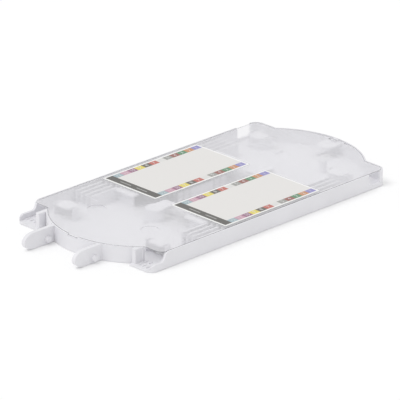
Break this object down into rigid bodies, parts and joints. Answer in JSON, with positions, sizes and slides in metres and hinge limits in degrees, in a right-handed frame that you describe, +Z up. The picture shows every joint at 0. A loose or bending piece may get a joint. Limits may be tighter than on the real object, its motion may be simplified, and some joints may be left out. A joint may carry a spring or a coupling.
{
  "type": "fibre splice tray",
  "caption": "Flat moulded tray with round ends that stores loops of optical fibre and holds splices under a clear hinged cover with two index cards.",
  "frame": {"origin": "on the underside, midway between the centres of the two end arcs", "axes": "+X along the tray towards the cover's hinge, -X towards the hinge fingers, +Z up out of the open side"},
  "size_m": [0.3165, 0.146, 0.0135],
  "materials": {
    "tray_plastic": "satin moulded, pale grey-white",
    "clear_plastic": "clear polished",
    "card": "printed card",
    "holder_plastic": "satin moulded, pale grey-white"
  },
  "bodies": {
    "tray": {"tray_base": "tray_plastic", "splice_holder_front": "holder_plastic", "splice_holder_rear": "holder_plastic"},
    "cover": {"clear_cover": "clear_plastic", "index_card_front": "card", "index_card_rear": "card"}
  },
  "joints": [
    {"name": "cover_hinge", "type": "hinge", "parent": "tray", "child": "cover", "pos_m": [0.1416, 0, 0.0124], "axis": [0, 1, 0], "range_deg": [0, 110]}
  ]
}
